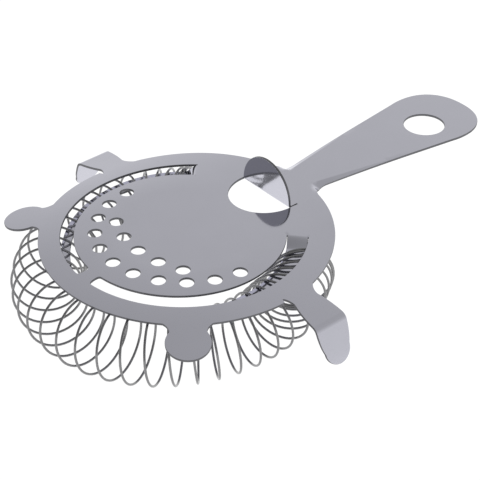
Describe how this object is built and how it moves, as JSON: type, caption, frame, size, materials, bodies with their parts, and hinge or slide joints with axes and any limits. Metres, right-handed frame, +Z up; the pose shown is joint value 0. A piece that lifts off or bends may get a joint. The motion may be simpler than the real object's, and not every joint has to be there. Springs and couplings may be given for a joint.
{
  "type": "hawthorne strainer",
  "caption": "Stainless hawthorne strainer: perforated disc with handle, finger tab, hooked prongs and round ears, and a coil spring threaded below.",
  "frame": {"origin": "centre of the disc on the flat underside of the plate", "axes": "+X from the disc's centre towards the handle, +Z up out of the plate's top face, +Y to the left of the handle"},
  "size_m": [0.1743, 0.1258, 0.0371],
  "materials": {
    "plate_steel": "satin",
    "spring_steel": "polished"
  },
  "bodies": {
    "plate": {"strainer_plate": "plate_steel"},
    "spring": {"coil_spring": "spring_steel"}
  },
  "joints": [
    {"name": "spring_press", "type": "slide", "parent": "plate", "child": "spring", "axis": [1, 0, 0], "range_m": [0, 0.006], "stiffness_N_per_m": 300, "deforming": ["coil_spring"]}
  ]
}
